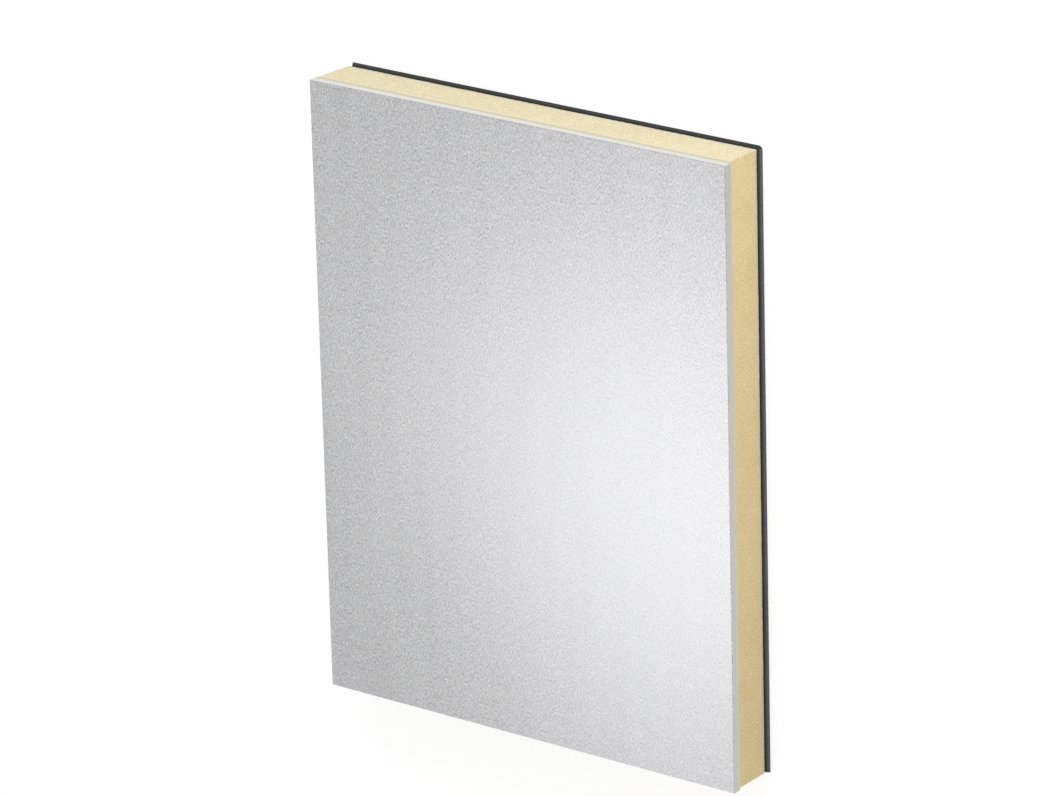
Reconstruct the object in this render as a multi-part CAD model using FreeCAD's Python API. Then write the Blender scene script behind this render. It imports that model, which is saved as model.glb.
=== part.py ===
import FreeCAD, Part
import os

# Insulated sandwich panel, a cut piece of infill board. All sizes are in millimetres.
# It lies flat with the brushed sheet up: +X runs across the panel, +Y runs up its height
# as it is fitted, and +Z points out of the brushed sheet. The origin is on the floor,
# under the middle of the whole panel.

# Build-up, from the floor upwards
back_sheet_thickness = 3.0
core_thickness = 18.0
front_sheet_thickness = 4.0

# Width of all three layers, and height of the brushed sheet and the core
panel_width = 192.0
panel_height = 250.0

# The layers are bonded slightly out of line with each other
front_sheet_shift = 1.0         # brushed sheet stands this far past the core on the right
back_sheet_shift = 0.7          # dark sheet stands this far past the core on the right
back_sheet_proud = 0.6          # and this far past its top and bottom, at the outer face

# Edges and corners
deburr = 0.25                   # chamfer round the visible face of the brushed sheet
eased_edge = 0.4                # radius round the outer face of the dark sheet
rubbed_corner = 1.8             # radius of the dark sheet's rubbed corner, upper right
tilted_cut = 1.2                # the dark sheet's lower edge is this much shorter at the bond

# The upper left corner has been knocked off. These are the legs along the top edge: the break
# widens from the brushed sheet down through the core, and narrows again through the dark
# sheet. Down the side the core has broken off as far, and the stiffer sheet further.
core_break_at_front = 1.0
core_break_at_back = 2.8
sheet_break_at_bond = 4.4
sheet_break_at_face = 2.0
core_break_slope = 1.0
sheet_break_slope = 3.0         # leg down the side over leg along the top

# Heights of the two bond lines
lower_bond = back_sheet_thickness
upper_bond = back_sheet_thickness + core_thickness

# The core's edges, which leave the origin under the middle of the whole panel
core_left = -(panel_width + front_sheet_shift) / 2
core_top = panel_height / 2
core_bottom = -panel_height / 2


def plate(thickness, left, bottom, height):
    """A square-cut layer of the panel's width and height, with its underside at one height."""
    corner = FreeCAD.Vector(left, bottom, height)
    return Part.makeBox(panel_width, panel_height, thickness, corner)


def edges_at_height(solid, height):
    """The edges that lie wholly at one height."""
    found = []
    for edge in solid.Edges:
        box = edge.BoundBox
        if abs(box.ZMin - height) < 0.001 and abs(box.ZMax - height) < 0.001:
            found.append(edge)
    return found


def upright_edge(solid, x, y):
    """The upright edge that stands at one corner of a layer."""
    for edge in solid.Edges:
        box = edge.BoundBox
        stands_here = abs(box.Center.x - x) < 0.001 and abs(box.Center.y - y) < 0.001
        if stands_here and box.ZLength > 0.001:
            return edge


def corner_break(left, top, slope, low, leg_at_low, high, leg_at_high):
    """The three-sided piece that is missing where an upper left corner is knocked off.
    It reaches a little past the layer on its outer sides, so that it cuts cleanly."""
    past = 1.0
    ends = []
    for height, leg in ((low, leg_at_low), (high, leg_at_high)):
        # The slanting side runs on past the layer's top and left edges.
        along_top = leg + past / slope
        down_side = leg * slope + past * slope
        ends.append([
            FreeCAD.Vector(left - past, top + past, height),
            FreeCAD.Vector(left + along_top, top + past, height),
            FreeCAD.Vector(left - past, top - down_side, height),
        ])
    lower, upper = ends
    loops = [lower, upper]
    for side in range(3):
        after = (side + 1) % 3
        loops.append([lower[side], lower[after], upper[after], upper[side]])
    faces = [Part.Face(Part.makePolygon(loop + loop[:1])) for loop in loops]
    return Part.Solid(Part.Shell(faces))


def front_sheet():
    """Brushed sheet, sawn square, with the arris of its visible face taken off."""
    sheet = plate(front_sheet_thickness, core_left + front_sheet_shift, core_bottom, upper_bond)
    return sheet.makeChamfer(deburr, edges_at_height(sheet, upper_bond + front_sheet_thickness))


def foam_core():
    """Foam board with its upper left corner knocked off, more so towards the dark sheet."""
    board = plate(core_thickness, core_left, core_bottom, lower_bond)
    return board.cut(corner_break(core_left, core_top, core_break_slope,
                                  lower_bond, core_break_at_back,
                                  upper_bond, core_break_at_front))


def back_sheet():
    """Dark sheet, drawn as its end profile and pushed across the panel. Its lower edge slopes,
    because the saw was tilted. One corner is knocked off and one rubbed round, and the outer
    face has eased edges, except where the saw left the lower one sharp."""
    left = core_left + back_sheet_shift
    right = left + panel_width
    top = core_top + back_sheet_proud
    bottom = core_bottom - back_sheet_proud
    outline = [
        FreeCAD.Vector(left, bottom, 0),
        FreeCAD.Vector(left, top, 0),
        FreeCAD.Vector(left, top, back_sheet_thickness),
        FreeCAD.Vector(left, bottom + tilted_cut, back_sheet_thickness),
        FreeCAD.Vector(left, bottom, 0),
    ]
    sheet = Part.Face(Part.makePolygon(outline)).extrude(FreeCAD.Vector(panel_width, 0, 0))
    sheet = sheet.makeFillet(rubbed_corner, [upright_edge(sheet, right, top)])
    sheet = sheet.cut(corner_break(left, top, sheet_break_slope,
                                   0, sheet_break_at_face,
                                   back_sheet_thickness, sheet_break_at_bond))
    eased = [edge for edge in edges_at_height(sheet, 0) if edge.BoundBox.YMax > bottom + 0.001]
    return sheet.makeFillet(eased_edge, eased)


os.makedirs("parts", exist_ok=True)
layers = {
    "front_sheet": front_sheet(),
    "foam_core": foam_core(),
    "back_sheet": back_sheet(),
}
for name, layer in layers.items():
    layer.exportStep("parts/" + name + ".step")
    print(name, "valid", layer.isValid(), "volume", round(layer.Volume, 1), "mm3")
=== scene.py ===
import math

import bpy
from mathutils import Matrix, Vector


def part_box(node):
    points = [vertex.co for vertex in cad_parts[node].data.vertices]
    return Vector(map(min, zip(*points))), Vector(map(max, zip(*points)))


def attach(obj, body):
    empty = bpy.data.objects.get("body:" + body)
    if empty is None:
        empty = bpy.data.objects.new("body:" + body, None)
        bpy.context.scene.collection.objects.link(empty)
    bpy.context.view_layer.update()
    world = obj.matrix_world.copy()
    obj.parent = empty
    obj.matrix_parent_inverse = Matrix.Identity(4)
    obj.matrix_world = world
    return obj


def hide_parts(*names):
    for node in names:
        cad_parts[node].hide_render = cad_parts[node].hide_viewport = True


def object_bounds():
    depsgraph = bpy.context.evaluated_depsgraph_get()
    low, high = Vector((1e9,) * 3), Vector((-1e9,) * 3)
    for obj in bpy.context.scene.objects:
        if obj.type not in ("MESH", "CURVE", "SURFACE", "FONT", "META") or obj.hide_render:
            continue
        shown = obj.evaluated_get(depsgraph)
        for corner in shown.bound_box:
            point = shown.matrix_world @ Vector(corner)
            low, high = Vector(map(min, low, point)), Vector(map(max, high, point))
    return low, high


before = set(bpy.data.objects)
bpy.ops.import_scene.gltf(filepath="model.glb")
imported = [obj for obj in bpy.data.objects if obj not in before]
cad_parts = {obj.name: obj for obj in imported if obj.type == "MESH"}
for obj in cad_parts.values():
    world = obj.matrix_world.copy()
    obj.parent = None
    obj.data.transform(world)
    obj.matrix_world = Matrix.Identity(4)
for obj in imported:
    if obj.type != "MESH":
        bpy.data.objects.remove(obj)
cad_low, cad_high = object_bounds()

MM = 0.001
X_AXIS, Y_AXIS, Z_AXIS = 0, 1, 2
SCENE = bpy.context.scene

# Chamfer round the visible face of the brushed sheet
CHAMFER = 0.25 * MM
# Legs of the break where the foam's corner is knocked off, under the brushed sheet and on the
# dark one
BREAK_AT_FRONT = 1.0 * MM
BREAK_AT_BACK = 2.8 * MM
# Relief of the foam's sawn edges, as the size of a lump and its depth: the slight wander of the
# saw, and the cut-open cells, which are drawn in lumps of two or three
WANDER_SIZE, WANDER_DEPTH = 9 * MM, 0.10 * MM
CELL_LUMP, CELL_DEPTH = 0.9 * MM, 0.22 * MM


# ---------- helpers ----------

def linear(hex_colour):
    """An sRGB hex colour as linear red, green, blue and alpha."""
    channels = []
    for start in (1, 3, 5):
        value = int(hex_colour[start:start + 2], 16) / 255
        channels.append(value / 12.92 if value <= 0.04045 else ((value + 0.055) / 1.055) ** 2.4)
    return (*channels, 1.0)


def new_material(name):
    """An empty node material: the material, its node tree and its output node."""
    material = bpy.data.materials.new(name)
    material.use_nodes = True
    material.node_tree.nodes.clear()
    return material, material.node_tree, material.node_tree.nodes.new("ShaderNodeOutputMaterial")


def add(tree, kind, sockets, **settings):
    """Adds a shader node. Each socket gets a value or another node's output."""
    node = tree.nodes.new("ShaderNode" + kind)
    for name, value in settings.items():
        setattr(node, name, value)
    for name, value in sockets.items():
        if isinstance(value, bpy.types.NodeSocket):
            tree.links.new(value, node.inputs[name])
        else:
            node.inputs[name].default_value = value
    return node


def near_ends(tree, along, low, high, begins, full, most=1.0):
    """How near a point is to either end of a stretch from low to high. It is 0 in the middle,
    starts to rise at one distance from the ends and has its most at another."""
    from_middle = add(tree, "Math", {0: along, 1: (low + high) / 2}, operation="SUBTRACT")
    outwards = add(tree, "Math", {0: from_middle.outputs[0]}, operation="ABSOLUTE")
    half_length = (high - low) / 2
    nearness = add(tree, "MapRange", {"Value": outwards.outputs[0],
                                      "From Min": half_length - begins,
                                      "From Max": half_length - full, "To Max": most})
    return nearness.outputs[0]


def seen_or_mirrored(tree):
    """1 where a surface is seen or mirrored, and 0 where it only gives light to others."""
    rays = add(tree, "LightPath", {})
    either = add(tree, "Math", {0: rays.outputs["Is Camera Ray"], 1: rays.outputs["Is Glossy Ray"]},
                 operation="MAXIMUM")
    return either.outputs[0]


def deselect_all():
    bpy.ops.object.select_all(action="DESELECT")


# ---------- materials ----------

# Sockets of a Mix node, for plain values and for colours, which share their names
VALUE_A, VALUE_B = 2, 3
COLOUR_A, COLOUR_B, MIXED = 6, 7, 2
WHITE = linear("#FFFFFF")


def brushed_aluminium(low, high):
    """Aluminium sheet, brushed along its length and clear anodised: the brushing breaks every
    reflection into short upright streaks, and the anodising greys and softens it. The edges are
    bare saw cuts, with painted light on the short ones and painted shade on the long ones."""
    material, tree, output = new_material("brushed_anodised_aluminium")
    place = add(tree, "TexCoord", {}).outputs["Object"]
    axes = add(tree, "SeparateXYZ", {"Vector": place})

    # Brush lines are about 0.1 mm wide and 1 mm long. They are drawn 0.3 mm wide, so that they
    # show. Coarser grains of the belt have drawn longer strokes, some 0.4 mm wide and 4 mm long.
    # Broad bands, 6 mm wide and 90 mm long, are left where the belt pressed unevenly.
    layers = []
    for width, length, detail in ((0.30 * MM, 1.0 * MM, 1.0), (0.38 * MM, 4 * MM, 2.0),
                                  (6 * MM, 90 * MM, 1.0)):
        drawn_out = add(tree, "Mapping", {"Vector": place, "Scale": (1 / width, 1 / length, 1)})
        layers.append(add(tree, "TexNoise", {"Vector": drawn_out.outputs[0], "Scale": 1.0,
                                             "Detail": detail}).outputs["Fac"])
    lines, strokes, bands = layers
    fine = add(tree, "Mix", {"Factor": 0.3, VALUE_A: lines, VALUE_B: strokes})
    brushing = add(tree, "Mix", {"Factor": 0.05, VALUE_A: fine.outputs[0], VALUE_B: bands})
    tone = add(tree, "MapRange", {"Value": brushing.outputs[0], "From Min": 0.34, "From Max": 0.66})
    brushed = add(tree, "Mix", {"Factor": tone.outputs[0], COLOUR_A: linear("#929294"),
                                COLOUR_B: linear("#DADADB")}, data_type="RGBA")
    # The paler lines are the rougher ones, so the brushing fades where a lamp is mirrored.
    gloss = add(tree, "MapRange", {"Value": tone.outputs[0], "To Min": 0.305, "To Max": 0.475})

    # The saw leaves fine marks about 0.3 mm apart on the edges, drawn at 0.6 mm.
    saw_marks = add(tree, "TexNoise", {"Vector": place, "Scale": 1 / (0.6 * MM), "Detail": 2.0})
    # Painted light and shade on the edges: the short ones are painted brighter and the long ones
    # duller, as the light falls on them.
    short_edge_lit = add(tree, "Mix", {"Factor": saw_marks.outputs["Fac"], COLOUR_A: linear("#DEDDD9"),
                              COLOUR_B: linear("#EDECE8")}, data_type="RGBA")
    long_edge_shaded = add(tree, "Mix", {"Factor": saw_marks.outputs["Fac"], COLOUR_A: linear("#BBBBB9"),
                             COLOUR_B: linear("#D0D0CD")}, data_type="RGBA")
    # The long edges are stained yellow over the 3 mm next to the foam.
    near_foam = add(tree, "MapRange", {"Value": axes.outputs["Z"], "From Min": low.z + 3.2 * MM,
                                       "From Max": low.z + 0.6 * MM, "To Max": 0.6})
    stained = add(tree, "Mix", {"Factor": near_foam.outputs[0], COLOUR_A: long_edge_shaded.outputs[MIXED],
                                COLOUR_B: linear("#CEC5AF")}, data_type="RGBA")
    # Only the long edges get the painted shade. They are the two faces at the ends of the width.
    long_edge = near_ends(tree, axes.outputs["X"], low.x, high.x, 0.02 * MM, 0.01 * MM)
    sawn = add(tree, "Mix", {"Factor": long_edge, COLOUR_A: short_edge_lit.outputs[MIXED],
                             COLOUR_B: stained.outputs[MIXED]}, data_type="RGBA")
    # The last millimetre of all the edges, next to the foam, is toned a darker yellow-grey.
    bond_band = add(tree, "MapRange", {"Value": axes.outputs["Z"], "From Min": low.z + 1.3 * MM,
                                  "From Max": low.z + 0.2 * MM, "To Max": 0.8})
    bond_toned = add(tree, "Mix", {"Factor": bond_band.outputs[0], COLOUR_A: sawn.outputs[MIXED],
                                COLOUR_B: linear("#D3CEB1")}, data_type="RGBA")

    # The face is whatever lies above the foot of its chamfer.
    foot = high.z - CHAMFER
    face = add(tree, "MapRange", {"Value": axes.outputs["Z"], "From Min": foot - 0.02 * MM,
                                  "From Max": foot + 0.02 * MM})
    colour = add(tree, "Mix", {"Factor": face.outputs[0], COLOUR_A: bond_toned.outputs[MIXED],
                               COLOUR_B: brushed.outputs[MIXED]}, data_type="RGBA")
    rough = add(tree, "Mix", {"Factor": face.outputs[0], VALUE_A: 0.55, VALUE_B: gloss.outputs[0]})
    height = add(tree, "Mix", {"Factor": face.outputs[0], VALUE_A: saw_marks.outputs["Fac"],
                               VALUE_B: lines})
    bump = add(tree, "Bump", {"Height": height.outputs[0], "Strength": 0.25,
                              "Distance": 0.02 * MM})
    shader = add(tree, "BsdfPrincipled", {"Base Color": colour.outputs[MIXED], "Metallic": 1.0,
                                          "Roughness": rough.outputs[0],
                                          "Normal": bump.outputs[0]})
    tree.links.new(shader.outputs[0], output.inputs[0])
    return material


def rigid_foam(low, high):
    """Sawn rigid polyurethane foam: matt, dry and grainy with cut-open cells. The short edges carry
    a painted sheen that makes them a paler cream, the long ones are a deeper yellow, and glue pales
    it next to the sheets."""
    material, tree, output = new_material("sawn_pu_foam")
    place = add(tree, "TexCoord", {}).outputs["Object"]
    axes = add(tree, "SeparateXYZ", {"Vector": place})

    # Cut cells are 0.3 to 0.5 mm across, and the board's colour clouds over some 14 mm.
    cells = add(tree, "TexVoronoi", {"Vector": place, "Scale": 1 / (0.5 * MM)})
    grain = add(tree, "TexNoise", {"Vector": place, "Scale": 1 / (0.45 * MM), "Detail": 1.0})
    clouds = add(tree, "TexNoise", {"Vector": place, "Scale": 1 / (14 * MM), "Detail": 2.0})
    mottle = add(tree, "Mix", {"Factor": 0.12, VALUE_A: grain.outputs["Fac"],
                               VALUE_B: clouds.outputs["Fac"]})
    tone = add(tree, "MapRange", {"Value": mottle.outputs[0], "From Min": 0.36, "From Max": 0.64})
    # Painted sheen: the short edges are painted a paler cream, as light grazes them, and the long
    # ones a deeper yellow.
    short_edge_lit = add(tree, "Mix", {"Factor": tone.outputs[0], COLOUR_A: linear("#D9CBA3"),
                              COLOUR_B: linear("#EFE7C8")}, data_type="RGBA")
    long_side_deep_yellow = add(tree, "Mix", {"Factor": tone.outputs[0], COLOUR_A: linear("#D5BD86"),
                                 COLOUR_B: linear("#F7E5B6")}, data_type="RGBA")

    # The long edges are the last half millimetre at each side, which takes in their relief.
    long_edge = near_ends(tree, axes.outputs["X"], low.x, high.x, 0.55 * MM, 0.40 * MM)
    # The painted sheen goes on the short edges, the deeper yellow on the long ones.
    sheen_by_side = add(tree, "Mix", {"Factor": long_edge, COLOUR_A: short_edge_lit.outputs[MIXED],
                             COLOUR_B: long_side_deep_yellow.outputs[MIXED]}, data_type="RGBA")

    # Glue pales the foam 4 mm deep under the brushed sheet and 3 mm deep over the dark one. That
    # is 3.5 mm at both ends of a stretch that is shifted by half a millimetre.
    glue_shift = 0.5 * MM
    glued = near_ends(tree, axes.outputs["Z"], low.z - glue_shift, high.z - glue_shift, 3.5 * MM,
                      0.3 * MM, 0.7)
    soaked = add(tree, "Mix", {"Factor": glued, COLOUR_A: sheen_by_side.outputs[MIXED],
                               COLOUR_B: linear("#E4D9C6")}, data_type="RGBA")
    # On the short edges a darker line, 1.2 mm wide, runs along the brushed sheet.
    under_sheet = add(tree, "MapRange", {"Value": axes.outputs["Z"], "From Min": high.z - 1.4 * MM,
                                         "From Max": high.z - 1.0 * MM, "To Max": 0.9})
    seam = add(tree, "Mix", {"Factor": long_edge, VALUE_A: under_sheet.outputs[0], VALUE_B: 0.0})
    colour = add(tree, "Mix", {"Factor": seam.outputs[0], COLOUR_A: soaked.outputs[MIXED],
                               COLOUR_B: linear("#C6C1B0")}, data_type="RGBA")

    height = add(tree, "Math", {0: cells.outputs["Distance"], 1: grain.outputs["Fac"]},
                 operation="ADD")
    bump = add(tree, "Bump", {"Height": height.outputs[0], "Strength": 0.5, "Distance": 0.15 * MM})
    shader = add(tree, "BsdfPrincipled", {"Base Color": colour.outputs[MIXED], "Roughness": 0.95,
                                          "Specular IOR Level": 0.25, "Normal": bump.outputs[0]})
    tree.links.new(shader.outputs[0], output.inputs[0])
    return material


def anthracite_coat(low, high):
    """Matt anthracite powder coat: near black and even, with a faint orange-peel skin, and a
    painted highlight that greys the outer part of its long edges, where light catches them."""
    material, tree, output = new_material("anthracite_powder_coat")
    place = add(tree, "TexCoord", {}).outputs["Object"]
    axes = add(tree, "SeparateXYZ", {"Vector": place})

    # The peel's dimples are about 0.9 mm across, and the coat's tone drifts over some 25 mm.
    peel = add(tree, "TexNoise", {"Vector": place, "Scale": 1 / (0.9 * MM), "Detail": 2.0})
    patches = add(tree, "TexNoise", {"Vector": place, "Scale": 1 / (25 * MM), "Detail": 2.0})
    tone = add(tree, "MapRange", {"Value": patches.outputs["Fac"], "From Min": 0.3,
                                  "From Max": 0.7})
    coat = add(tree, "Mix", {"Factor": tone.outputs[0], COLOUR_A: linear("#2D2E2B"),
                             COLOUR_B: linear("#353633")}, data_type="RGBA")

    # A painted highlight greys the long edges in patches, and little where they are next to the
    # foam.
    long_edge = near_ends(tree, axes.outputs["X"], low.x, high.x, 0.30 * MM, 0.05 * MM)
    highlight_patches = add(tree, "MapRange", {"Value": peel.outputs["Fac"], "From Min": 0.3, "From Max": 0.6,
                                  "To Min": 0.5})
    outer = add(tree, "MapRange", {"Value": axes.outputs["Z"], "From Min": high.z - 0.4 * MM,
                                   "From Max": high.z - 1.5 * MM, "To Min": 0.2})
    highlight_reach = add(tree, "Math", {0: long_edge, 1: outer.outputs[0]}, operation="MULTIPLY")
    painted_highlight = add(tree, "Math", {0: highlight_reach.outputs[0], 1: highlight_patches.outputs[0]}, operation="MULTIPLY")
    # Painted highlight: the outer part of the long edges is painted a lighter grey, where light
    # catches them.
    colour = add(tree, "Mix", {"Factor": painted_highlight.outputs[0], COLOUR_A: coat.outputs[MIXED],
                               COLOUR_B: linear("#696D71")}, data_type="RGBA")

    bump = add(tree, "Bump", {"Height": peel.outputs["Fac"], "Strength": 0.3,
                              "Distance": 0.05 * MM})
    shader = add(tree, "BsdfPrincipled", {"Base Color": colour.outputs[MIXED], "Roughness": 0.7,
                                          "Specular IOR Level": 0.15, "Normal": bump.outputs[0]})
    tree.links.new(shader.outputs[0], output.inputs[0])
    return material


def studio_white():
    """White studio paper, which reads as pure white to the camera away from the panel's shadow."""
    material, tree, output = new_material("studio_paper")
    paper = add(tree, "BsdfDiffuse", {"Color": linear("#E7E7E7")})
    # As it is seen, most of its white is even, so that the shadow stays faint.
    shaded = add(tree, "BsdfDiffuse", {"Color": linear("#A6A6A6")})
    glow = add(tree, "Emission", {"Color": WHITE, "Strength": 0.74})
    lifted = add(tree, "AddShader", {0: shaded.outputs[0], 1: glow.outputs[0]})
    chosen = add(tree, "MixShader", {0: seen_or_mirrored(tree), 1: paper.outputs[0],
                                     2: lifted.outputs[0]})
    tree.links.new(chosen.outputs[0], output.inputs[0])
    return material


# ---------- pieces ----------

def select_where(piece, kind, test):
    """Selects the faces, edges or points of a piece that pass a test, and opens it for editing."""
    bpy.ops.object.mode_set(mode="EDIT")
    bpy.ops.mesh.select_mode(type=kind)
    bpy.ops.mesh.select_all(action="DESELECT")
    bpy.ops.object.mode_set(mode="OBJECT")
    items = {"FACE": piece.data.polygons, "EDGE": piece.data.edges, "VERT": piece.data.vertices}
    for item in items[kind]:
        item.select = test(item)
    bpy.ops.object.mode_set(mode="EDIT")


def divide_edges(piece, axis, *cuts):
    """Cuts every edge that runs along one axis into equal lengths, once for each number of cuts."""
    def runs_along(edge):
        ends = [piece.data.vertices[index].co for index in edge.vertices]
        step = ends[1] - ends[0]
        return abs(step[axis]) > 0.99 * step.length
    for count in cuts:
        select_where(piece, "EDGE", runs_along)
        bpy.ops.mesh.subdivide(number_cuts=count)
        bpy.ops.object.mode_set(mode="OBJECT")


def knock_corner(piece, low, high):
    """Breaks off the upper left corner, more so towards the dark sheet."""
    for point in piece.data.vertices:
        depth = (high.z - point.co.z) / (high.z - low.z)
        reach = BREAK_AT_FRONT + (BREAK_AT_BACK - BREAK_AT_FRONT) * depth
        inside = (point.co.x - low.x) + (high.y - point.co.y)
        if inside < reach:
            push = (reach - inside) / 2
            point.co.x += push
            point.co.y -= push


def roughen(piece, name, lump, depth, detail):
    """Sinks a surface by up to a depth, in lumps of one size and with smaller ones on them."""
    texture = bpy.data.textures.new(name, "CLOUDS")
    texture.noise_scale = lump
    texture.noise_depth = detail
    press = piece.modifiers.new(name, "DISPLACE")
    press.texture = texture
    press.texture_coords = "LOCAL"
    press.direction = "NORMAL"
    press.mid_level = 0.0
    press.strength = -depth
    bpy.ops.object.modifier_apply(modifier=name)


def sawn_core():
    """The foam board: four sawn edges with their cut-open cells, and a corner knocked off."""
    low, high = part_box("foam_core")
    deselect_all()
    bpy.ops.mesh.primitive_cube_add(size=1.0, location=(low + high) / 2, scale=high - low)
    core = bpy.context.object
    core.name = core.data.name = "sawn_foam_core"
    bpy.ops.object.transform_apply(location=True, rotation=True, scale=True)

    # The two glued faces are left out while the edges are worked.
    select_where(core, "FACE", lambda face: abs(face.normal.z) > 0.5)
    bpy.ops.mesh.delete(type="ONLY_FACE")
    bpy.ops.object.mode_set(mode="OBJECT")
    # The edges are cut to a grid of about half a millimetre. One round makes up to 100 cuts, so
    # the long ones need two.
    divide_edges(core, Z_AXIS, 35)
    divide_edges(core, X_AXIS, 19, 18)
    divide_edges(core, Y_AXIS, 19, 24)
    knock_corner(core, low, high)
    roughen(core, "saw_wander", WANDER_SIZE, WANDER_DEPTH, 1)
    roughen(core, "cut_cells", CELL_LUMP, CELL_DEPTH, 2)

    # Both glued faces are closed again, and every face is turned outwards.
    for level in (low.z, high.z):
        select_where(core, "VERT", lambda point: abs(point.co.z - level) < 0.01 * MM)
        bpy.ops.mesh.edge_face_add()
        bpy.ops.object.mode_set(mode="OBJECT")
    bpy.ops.object.mode_set(mode="EDIT")
    bpy.ops.mesh.select_all(action="SELECT")
    bpy.ops.mesh.normals_make_consistent(inside=False)
    bpy.ops.object.mode_set(mode="OBJECT")
    bpy.ops.object.shade_smooth_by_angle(angle=math.radians(50))
    return core


# ---------- set, light and camera ----------

def lay_floor():
    """A sheet of studio paper, wide enough to have no edge in sight."""
    deselect_all()
    bpy.ops.mesh.primitive_plane_add(size=12.0, location=(0, 0, 0))
    floor = bpy.context.object
    floor.name = "studio_floor"
    floor.data.materials.append(studio_white())


def light_world():
    """Even white air: pure white where it is seen or mirrored, and dimmer as a light."""
    world = bpy.data.worlds.new("studio_air")
    world.use_nodes = True
    tree = world.node_tree
    strength = add(tree, "MapRange", {"Value": seen_or_mirrored(tree), "To Min": 0.62,
                                      "To Max": 1.0})
    background = tree.nodes["Background"]
    background.inputs["Color"].default_value = WHITE
    tree.links.new(strength.outputs[0], background.inputs["Strength"])
    SCENE.world = world


def soft_lamp(name, place, aim, width, height, power, spread=180, mirrored=True):
    """A soft box. Where it isn't mirrored, it lights the foam and the coat but not the bare metal,
    which would flash white when it is looked at from the other side."""
    lamp = bpy.data.lights.new(name, "AREA")
    lamp.shape = "RECTANGLE"
    lamp.size = width
    lamp.size_y = height
    lamp.energy = power
    lamp.spread = math.radians(spread)
    holder = bpy.data.objects.new(name, lamp)
    SCENE.collection.objects.link(holder)
    holder.location = place
    holder.rotation_euler = (aim - place).to_track_quat("-Z", "Y").to_euler()
    holder.visible_camera = False
    holder.visible_glossy = mirrored


def set_camera(panel_top):
    """Looks down on the panel from its right and a little beyond its upper edge. The camera is
    turned so that the panel's height runs upwards."""
    azimuth = math.radians(32.28)
    elevation = math.radians(48.505)
    distance = 2.508
    aim = panel_top + Vector((2.42, 15.55, 0.0)) * MM
    away = Vector((math.cos(azimuth) * math.cos(elevation),
                   math.sin(azimuth) * math.cos(elevation),
                   math.sin(elevation)))
    up_hint = Vector((-0.19059, 0.93498, -0.29914))
    back = away.normalized()
    right = up_hint.cross(back).normalized()
    up = back.cross(right)
    data = bpy.data.cameras.new("camera")
    data.sensor_width = 36.0
    data.lens = 228.08
    camera = bpy.data.objects.new("camera", data)
    SCENE.collection.objects.link(camera)
    turn = Matrix((right, up, back)).transposed().to_4x4()
    camera.matrix_world = Matrix.Translation(aim + away * distance) @ turn
    SCENE.camera = camera


# ---------- the scene ----------

metal = brushed_aluminium(*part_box("front_sheet"))
foam = rigid_foam(*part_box("foam_core"))
coat = anthracite_coat(*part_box("back_sheet"))

for node, material in (("front_sheet", metal), ("back_sheet", coat)):
    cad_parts[node].data.materials.clear()
    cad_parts[node].data.materials.append(material)

core = sawn_core()
core.data.materials.append(foam)
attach(core, "root")
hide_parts("foam_core")

lay_floor()
light_world()
panel_top = Vector(((cad_low.x + cad_high.x) / 2, (cad_low.y + cad_high.y) / 2, cad_high.z))
# The first lamp is a small one that the brushed face mirrors as its soft glow. The others light
# the panel's upper and right edges.
soft_lamp("sheet_glow", Vector((-0.380, -0.331, 0.623)), Vector((0.129, 0.034, 0.024)),
          width=0.228, height=0.064, power=0.014, spread=27)
soft_lamp("upper_edge_light", Vector((0.2, 1.6, 0.9)), panel_top,
          width=1.2, height=0.8, power=14, mirrored=False)
soft_lamp("right_edge_light", Vector((0.42, 0.26, 0.16)), Vector((0.094, 0.06, 0.012)),
          width=0.15, height=0.15, power=0.36, mirrored=False)
set_camera(panel_top)

SCENE.view_settings.view_transform = "Standard"
